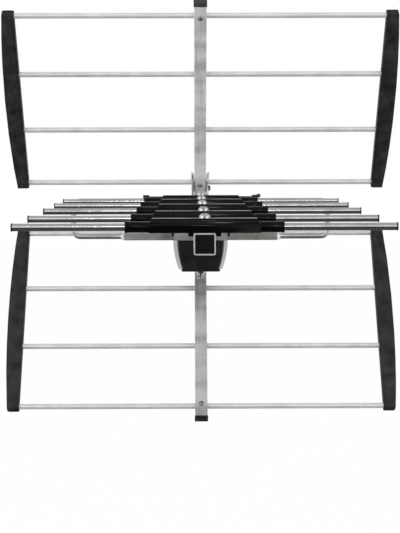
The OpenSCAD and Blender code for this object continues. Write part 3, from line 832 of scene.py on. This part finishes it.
@dataclass
class BoomAndDirectors:
    """The boom with its plugs, holders, rods, caps and screws."""

    frame: dict[str, Any]
    directors: int = 5
    holder_rounding: float = 0.5 * MM
    # The tone rises by a step per director: painted light that makes each rear rod's tube lighter than the
    # one in front.
    front_tone: float = 0.64
    painted_light_step: float = 0.02
    light_share: float = 1.25
    dark_share: float = 0.8

    def finish(self) -> None:
        """Dress every node of the boom."""
        nodes = self.frame["nodes"]
        dress(nodes["boom"], DrawnAluminium(
            "boom extrusion", Along.Y, light=grey(0.86), dark=grey(0.7), metal=0.6).build())
        plug = GrainMoulding(
            "plug moulding", deep=grey(0.002), worn=grey(0.005), gloss=0.4, shine=0.1).build()
        for name in ("boom_front_plug", "boom_rear_plug", "director_tip_caps"):
            dress(nodes[name], plug)
        holder = GlossMoulding("holder moulding").build()
        for number in range(1, self.directors + 1):
            name = f"director_holder_{number}"
            moulded = rounded_copy(nodes[name], f"{name}_moulding", self.holder_rounding)
            dress(moulded, holder)
            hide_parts(name)
            keep(moulded)
            rods = self.rod_finish(number)
            for side in ("left", "right"):
                dress(nodes[f"director_{number}_rod_{side}"], rods)
        screw = PlatedSteel("bright screw", light=grey(0.8), dark=grey(0.6), gloss=0.15)
        dress(nodes["holder_screws"], screw.build())
        log.info("boom and %d directors dressed", self.directors)

    def rod_finish(self, number: int) -> Any:
        """Return the material of one director's rods, painted lighter further back in place of the brighter
        reflections on the rear rods.

        Args:
            number: the director's number, counted from the front.

        Returns:
            The material.
        """
        # Painted light: the rods' colour gets lighter with each director further back.
        tone = self.front_tone + (number - 1) * self.painted_light_step
        return DrawnAluminium(
            f"director tube {number}", Along.X, light=grey(tone * self.light_share),
            dark=grey(tone * self.dark_share), gloss=0.17).build()


@dataclass
class Dipole:
    """The folded dipole with its matching box."""

    frame: dict[str, Any]
    threads: ThreadMaker
    socket_pitch: float = 0.8 * MM
    socket_radius: float = 4.7 * MM
    lever_back: float = 8 * MM
    lever_reach: float = 9 * MM
    lever_rise: float = 1.6 * MM
    lever_radius: float = 2.6 * MM
    arm_root: float = 0.6
    arm_tip: float = 0.8
    lever_sides: int = 20
    lever_rings: int = 12

    def finish(self) -> None:
        """Dress the dipole, its box and the socket, and add the clip's lever."""
        nodes = self.frame["nodes"]
        dress(nodes["dipole_loop"], DrawnAluminium(
            "dipole tube", Along.X, light=(0.72, 0.71, 0.69), dark=(0.36, 0.34, 0.32),
            gloss=0.3, metal=0.9).build())
        case = GlossMoulding(
            "box moulding", colour=(0.008, 0.008, 0.0085), dust=0.01, gloss=0.12, shine=0.9).build()
        dress(nodes["box_base"], case)
        dress(nodes["box_cover"], GrainMoulding(
            "box cover moulding", deep=grey(0.004), worn=grey(0.011), gloss=0.36, grain=0.7 * MM,
            shine=0.2).build())
        dress(nodes["dipole_clips"], case)
        lever = self.clip_lever()
        dress(lever, case)
        keep(lever)
        dress(nodes["terminal_cover"], DrawnAluminium(
            "terminal cover", Along.X, light=grey(0.62), dark=grey(0.42), gloss=0.4).build())
        dress(nodes["balun_board"], BoardLaminate("balun board").build())
        steel = PlatedSteel("box fastener").build()
        dress(nodes["terminal_screws"], steel)
        dress(nodes["box_screw"], steel)
        self.finish_socket()

    def finish_socket(self) -> None:
        """Dress the coax socket and its nut, and cut the thread below the nut."""
        nodes = self.frame["nodes"]
        nickel = PlatedSteel(
            "socket nickel", light=(0.74, 0.73, 0.7), dark=(0.14, 0.13, 0.11), gloss=0.16,
            crystal=1.5 * MM).build()
        dress(nodes["coax_socket"], nickel)
        dress(nodes["coax_socket_nut"], nickel)
        low, high = (Vector(corner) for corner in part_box("coax_socket"))
        nut_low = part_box("coax_socket_nut")[0][2]
        middle = (low + high) / 2
        start = Vector((middle.x, middle.y, low.z + self.socket_pitch))
        keep(self.threads.cut(
            "socket_thread", self.recorded_radius(), self.socket_pitch, nut_low - start.z, nickel,
            Matrix.Translation(start)))

    def clip_lever(self) -> Any:
        """Return the round-headed lever on the right-hand clip."""
        low, high = (Vector(corner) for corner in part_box("dipole_clips"))
        foot = Vector((high.x - self.lever_back, (low.y + high.y) / 2, high.z - self.lever_radius))
        head = foot + Vector((self.lever_reach, 0.0, self.lever_rise))
        arm = head - foot
        turn = arm.to_track_quat("Z", "Y").to_matrix().to_4x4()
        form = bmesh.new()
        bmesh.ops.create_cone(
            form, cap_ends=True, segments=self.lever_sides, radius1=self.lever_radius * self.arm_root,
            radius2=self.lever_radius * self.arm_tip, depth=arm.length,
            matrix=Matrix.Translation((foot + head) / 2) @ turn)
        bmesh.ops.create_uvsphere(
            form, u_segments=self.lever_sides, v_segments=self.lever_rings, radius=self.lever_radius,
            matrix=Matrix.Translation(head))
        for face in form.faces:
            face.smooth = True
        return mesh_object(form, "clip_lever")

    def recorded_radius(self) -> float:
        """Return the socket's radius from its mount in the record, or the usual one."""
        for mount in self.frame["record"]["mounts"]:
            if mount["name"] == "coax_socket":
                return mount["dims"]["r_mm"] * MM
        return self.socket_radius


@dataclass
class Reflector:
    """Two panels of rods on square tubes, with bowed end strips."""

    frame: dict[str, Any]
    # The third figure is the tone of each panel's tube: painted light and shade, the upper tube lighter than
    # the lower, as lit and shaded copies of one extrusion.
    panels: tuple[tuple[str, int, float], ...] = (("upper", 1, 0.8), ("lower", -1, 0.58))
    dark_share: float = 0.52
    rods: int = 4
    rod_pitch: float = 88 * MM
    socket_half: float = 5.4 * MM
    strip_rounding: float = 0.9 * MM
    tip_trim: float = 2.2 * MM
    root_trim: float = 3.4 * MM
    slimming: float = 0.885
    tube_half: float = 8 * MM
    tube_corner: float = 1.2 * MM
    tube_end: float = 278 * MM
    tube_extra: float = 3 * MM
    tube_rounding: float = 0.1 * MM
    cap_overhang: float = 0.7 * MM
    cap_thickness: float = 1.1 * MM
    cap_recess: float = 0.5 * MM
    cap_rounding: float = 0.15 * MM

    def finish(self) -> None:
        """Dress both panels."""
        nodes = self.frame["nodes"]
        strip = GrainMoulding("strip moulding").build()
        cap = GrainMoulding("cap moulding", deep=grey(0.006), worn=grey(0.05), gloss=0.3).build()
        rod = DrawnAluminium(
            "reflector tube", Along.X, light=(0.8, 0.8, 0.81), dark=(0.56, 0.56, 0.58), gloss=0.4,
            metal=0.4).build()
        for panel, side, tone in self.panels:
            # Painted light and shade: the tube's colour follows the panel's tone, so the two tubes are lit
            # and shaded copies of one finish.
            finish = DrawnAluminium(
                f"{panel} panel extrusion", Along.Z, side * PANEL_LEAN, light=grey(tone),
                dark=grey(tone * self.dark_share), gloss=0.38, metal=0.3, bands=1.0).build()
            dress(nodes[f"{panel}_panel_tube"], finish)
            plane = PanelPlane(side)
            self.tube_tip(panel, plane, finish, cap)
            for number in range(1, self.rods + 1):
                dress(nodes[f"{panel}_rod_{number}"], rod)
            for hand in ("left", "right"):
                name = f"{panel}_strip_{hand}"
                piece = rounded_copy(
                    nodes[name], f"{name}_moulding", self.strip_rounding, plane.shaped(self.trimmed))
                dress(piece, strip)
                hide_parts(name)
                keep(piece)
        rivet = PlatedSteel("rivet", light=grey(0.3), dark=grey(0.12), gloss=0.3)
        dress(nodes["rod_rivets"], rivet.build())

    def trimmed(self, point: Vector) -> Vector:
        """Return a strip's point with both ends drawn in and the moulding slimmed.

        Args:
            point: a point in the panel's coordinates.

        Returns:
            The moved point.
        """
        along = point.z
        if along < -self.socket_half:
            along += self.root_trim
        elif along > (self.rods - 1) * self.rod_pitch + self.socket_half:
            along -= self.tip_trim
        return Vector((point.x, point.y * self.slimming, along))

    def tube_tip(self, panel: str, plane: PanelPlane, finish: Any, cap_finish: Any) -> None:
        """Lengthen a panel's tube and close it with a thin cap.

        Args:
            panel: the panel's name.
            plane: its place.
            finish: the tube's material.
            cap_finish: the cap's material.
        """
        end = self.tube_end + self.tube_extra
        sleeve = square_prism(self.tube_half, self.tube_corner, self.tube_end, end)
        tip = plane.piece(sleeve, f"{panel}_tube_tip", self.tube_rounding)
        dress(tip, finish)
        keep(tip)
        half = self.tube_half + self.cap_overhang
        plate = square_prism(half, self.tube_corner, end, end + self.cap_thickness, self.cap_recess)
        cap = plane.piece(plate, f"{panel}_tube_plug", self.cap_rounding)
        dress(cap, cap_finish)
        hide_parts(f"{panel}_tube_cap")
        keep(cap)


@dataclass
class Bracket:
    """The plates, bolts and nuts that hold the panels on the boom."""

    frame: dict[str, Any]
    rounding: float = 0.3 * MM
    boom_reach: float = 17.5 * MM
    bolt_reach: float = 9 * MM
    tuck: float = 1.4 * MM
    lip_from: float = 12 * MM
    lip_drop: float = 9 * MM

    def finish(self) -> None:
        """Dress the bracket."""
        nodes = self.frame["nodes"]
        plate = PlatedSteel(
            "bracket plate", light=grey(0.86), dark=grey(0.6), gloss=0.34, crystal=6 * MM, metal=0.25).build()
        nut = PlatedSteel("bracket nut", light=grey(0.2), dark=grey(0.08), gloss=0.3).build()
        for side in ("left", "right"):
            name = f"bracket_plate_{side}"
            pressed = rounded_copy(nodes[name], f"{name}_pressing", self.rounding, self.tucked)
            dress(pressed, plate)
            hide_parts(name)
            keep(pressed)
        dress(nodes["fork_spacers"], plate)
        for name, finish in (("bracket_bolts", plate), ("bracket_nuts", nut)):
            piece = rounded_copy(nodes[name], f"{name}_pressed", self.rounding, self.tucked)
            dress(piece, finish)
            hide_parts(name)
            keep(piece)
        log.info("bracket dressed")

    def tucked(self, point: Vector) -> Vector:
        """Return a point with what is beside the tubes pressed closer, and the lips lower.

        Args:
            point: a point in the frame.

        Returns:
            The moved point.
        """
        if abs(point.z) < self.boom_reach:
            return point
        plane = PanelPlane(1 if point.z > 0 else -1).matrix()
        own = plane.inverted() @ point
        if abs(own.x) > self.bolt_reach:
            own.x -= math.copysign(self.tuck, own.x)
        if own.z > self.lip_from:
            own.z -= self.lip_drop
        return plane @ own


@dataclass
class MastClamp:
    """The jaw, the U-bolt and its nuts behind the reflector."""

    frame: dict[str, Any]
    threads: ThreadMaker
    bolt_radius: float = 3 * MM
    pitch: float = 1 * MM
    thread_past_nut: float = 7 * MM

    def finish(self) -> None:
        """Dress the clamp and cut the U-bolt's two threads."""
        nodes = self.frame["nodes"]
        zinc = PlatedSteel("clamp zinc").build()
        for name in ("mast_jaw", "mast_backing_plate", "mast_u_bolt", "mast_washers", "mast_wing_nuts"):
            dress(nodes[name], zinc)
        low, high = (Vector(corner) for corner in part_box("mast_u_bolt"))
        nut_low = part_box("mast_wing_nuts")[0][0]
        along = Matrix.Rotation(math.pi / 2, 4, "Y")
        stretches = []
        for number, side in enumerate((low.y + self.bolt_radius, high.y - self.bolt_radius)):
            start = Vector((low.x + self.pitch / 2, side, (low.z + high.z) / 2))
            stretches.append(self.threads.cut(
                f"u_bolt_thread_{number}", self.bolt_radius, self.pitch,
                nut_low + self.thread_past_nut - start.x, zinc, Matrix.Translation(start) @ along))
        keep(join_pieces(stretches, "u_bolt_threads"))


@dataclass(frozen=True)
class Lamp:
    """One soft square lamp, with its place, its target and its power in watts."""

    name: str
    place: Triple
    target: Triple
    size: float
    power: float
    mirrored: bool = True

    def hang(self) -> None:
        """Add the lamp to the scene. Shiny surfaces show it if it is mirrored."""
        data = bpy.data.lights.new(self.name, "AREA")
        data.shape = "SQUARE"
        data.size = self.size
        data.energy = self.power
        lamp = bpy.data.objects.new(self.name, data)
        lamp.visible_glossy = self.mirrored
        lamp.location = self.place
        towards = Vector(self.target) - Vector(self.place)
        lamp.rotation_euler = towards.to_track_quat("-Z", "Y").to_euler()
        bpy.context.collection.objects.link(lamp)


@dataclass
class Studio:
    """White room, soft lamps and the photograph's camera.

    The bands are what shiny surfaces see of the room: an angle in degrees, from 0 towards the
    camera over 90 above to 180 behind, and a brightness.
    """

    eye: Vector = field(default_factory=lambda: Vector((-48.75, -2130.7, 95.4)) * MM)
    pitch_down: float = math.radians(4.946)
    yaw_right: float = math.radians(0.315)
    roll: float = math.radians(-0.155)
    focal_px: float = 1476.0
    photo_height_px: float = 533.0
    sensor: float = 36.0
    sight: float = 50.0
    floor_drop: float = 0.62
    floor_half: float = 12.0
    floor_tone: float = 0.86
    floor_glow: float = 0.985
    side_level: float = 0.9
    side_from: float = 0.35
    side_full: float = 0.7
    fill_level: float = 0.6
    bands: tuple[tuple[float, float], ...] = (
        (-180, 0.95), (-164, 0.9), (-150, 0.06), (-60, 0.08), (-10, 0.05), (2, 0.02), (4, 0.9), (8, 1.0),
        (24, 1.0), (34, 0.5), (100, 0.45), (150, 0.45), (165, 0.8), (180, 0.9))
    lamps: tuple[Lamp, ...] = (
        Lamp("left soft box", (-1.7, -2.0, 0.5), (0.0, -0.2, 0.0), 0.7, 14.0),
        Lamp("right soft box", (1.6, -2.1, 0.4), (0.0, -0.2, 0.0), 0.6, 8.0),
        Lamp("front strip", (-0.05, -3.0, 0.86), (0.0, -0.3, 0.0), 0.28, 3.4),
        Lamp("top soft box", (0.0, -0.9, 1.9), (0.0, -0.4, 0.0), 1.4, 14.0, mirrored=False))

    def camera(self) -> None:
        """Place the camera at the photograph's viewpoint."""
        data = bpy.data.cameras.new("camera")
        data.sensor_width = self.sensor
        data.lens = self.focal_px * self.sensor / self.photo_height_px
        data.clip_end = self.sight
        camera = bpy.data.objects.new("camera", data)
        forward = Vector((
            math.sin(self.yaw_right) * math.cos(self.pitch_down),
            math.cos(self.yaw_right) * math.cos(self.pitch_down),
            -math.sin(self.pitch_down)))
        right = Vector((math.cos(self.yaw_right), -math.sin(self.yaw_right), 0.0))
        up = right.cross(forward)
        turned_right = right * math.cos(self.roll) + up * math.sin(self.roll)
        turned_up = up * math.cos(self.roll) - right * math.sin(self.roll)
        rotation = Matrix((turned_right, turned_up, -forward)).transposed().to_4x4()
        camera.matrix_world = Matrix.Translation(self.eye) @ rotation
        bpy.context.collection.objects.link(camera)
        bpy.context.scene.camera = camera

    def room(self) -> None:
        """Light the world: white for the camera, banded for reflections."""
        world = bpy.data.worlds.new("studio")
        bpy.context.scene.world = world
        world.use_nodes = True
        graph = Graph(world.node_tree)
        direction = graph.node("ShaderNodeTexCoord", {}, {}, "Generated")
        across, behind, height = (
            graph.node("ShaderNodeSeparateXYZ", {}, {"Vector": direction}, axis) for axis in "XYZ")
        angle = graph.node("ShaderNodeMath", {"operation": "ARCTAN2"}, {0: height, 1: 0 - behind})
        bands = graph.ramp(angle * (0.5 / math.pi) + 0.5, [
            (place / 360 + 0.5, grey(level)) for place, level in self.bands])
        aside = graph.node("ShaderNodeMath", {"operation": "ABSOLUTE"}, {0: across})
        beside = graph.ramp(aside, [(self.side_from, grey(0.0)), (self.side_full, grey(1.0))])
        around = graph.blend(beside, bands, rgba(grey(self.side_level)))
        path = self.path(graph)
        lit = graph.blend(path["Is Glossy Ray"], rgba(grey(self.fill_level)), around)
        colour = graph.blend(path["Is Camera Ray"], lit, rgba(grey(1.0)))
        graph.end(
            graph.node("ShaderNodeBackground", {}, {"Color": colour, "Strength": 1.0}),
            "ShaderNodeOutputWorld")

    @staticmethod
    def path(graph: Graph) -> dict[str, Value]:
        """Return the outputs of a new Light Path node.

        Args:
            graph: the graph that gets the node.

        Returns:
            Each output by its name.
        """
        first = graph.node("ShaderNodeLightPath", {}, {})
        return {socket.name: Value(graph, socket) for socket in first.socket.node.outputs}

    def floor(self) -> None:
        """Lay a pale floor that keeps a soft shadow and stays out of reflections."""
        mesh = bpy.data.meshes.new("floor")
        half = self.floor_half
        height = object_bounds()[0][2] - self.floor_drop
        mesh.from_pydata(
            [(-half, -half, height), (half, -half, height), (half, half, height), (-half, half, height)],
            [], [(0, 1, 2, 3)])
        floor = bpy.data.objects.new("floor", mesh)
        bpy.context.collection.objects.link(floor)
        material, graph = new_material("pale floor")
        plain = graph.node("ShaderNodeBsdfDiffuse", {}, {"Color": rgba(grey(self.floor_tone))})
        glow = graph.node("ShaderNodeEmission", {}, {"Color": rgba(grey(1.0)), "Strength": 1.0})
        shown = self.path(graph)["Is Camera Ray"] * self.floor_glow
        graph.end(graph.node("ShaderNodeMixShader", {}, {0: shown, 1: plain, 2: glow}))
        floor.data.materials.append(material)
        floor.visible_glossy = False
        floor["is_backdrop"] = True

    def build(self) -> None:
        """Set up the camera, the room, the floor and the lamps."""
        self.camera()
        self.room()
        self.floor()
        for lamp in self.lamps:
            lamp.hang()
        view = bpy.context.scene.view_settings
        view.view_transform = "Standard"


def main() -> None:
    """Load the frame, dress each sub-assembly in order and build the studio."""
    logging.basicConfig(level=logging.INFO)
    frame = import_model()
    Studio().build()
    threads = ThreadMaker()
    BoomAndDirectors(frame).finish()
    Dipole(frame, threads).finish()
    Reflector(frame).finish()
    Bracket(frame).finish()
    MastClamp(frame, threads).finish()


if __name__ == "__main__":
    main()
